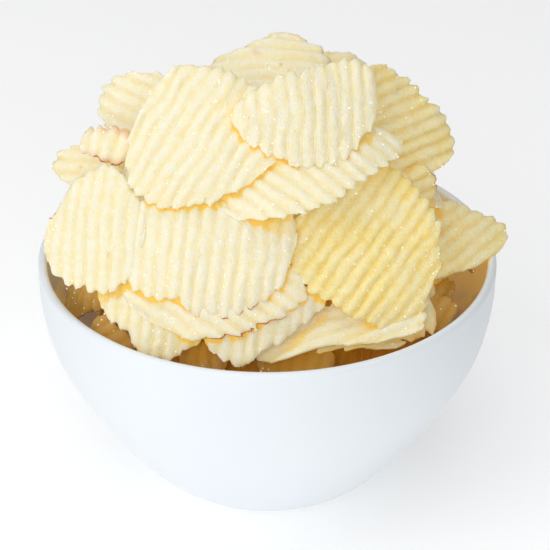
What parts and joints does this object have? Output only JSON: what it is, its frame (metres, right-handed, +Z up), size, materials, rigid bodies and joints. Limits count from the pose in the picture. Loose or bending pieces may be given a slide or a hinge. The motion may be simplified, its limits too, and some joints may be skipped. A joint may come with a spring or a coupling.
{
  "type": "bowl of crisps",
  "caption": "Plain round bowl heaped high with ridged potato crisps, standing on a flat foot.",
  "frame": {"origin": "centre of the bowl's flat foot, on the surface it stands on", "axes": "+Z up along the bowl's axis; -Y towards the viewer of the picture"},
  "size_m": [0.1543, 0.15, 0.1569],
  "materials": {
    "bowl": "gloss",
    "crisps": "matte"
  },
  "bodies": {
    "root": {"bowl": "bowl", "crisps": "crisps"}
  },
  "joints": []
}
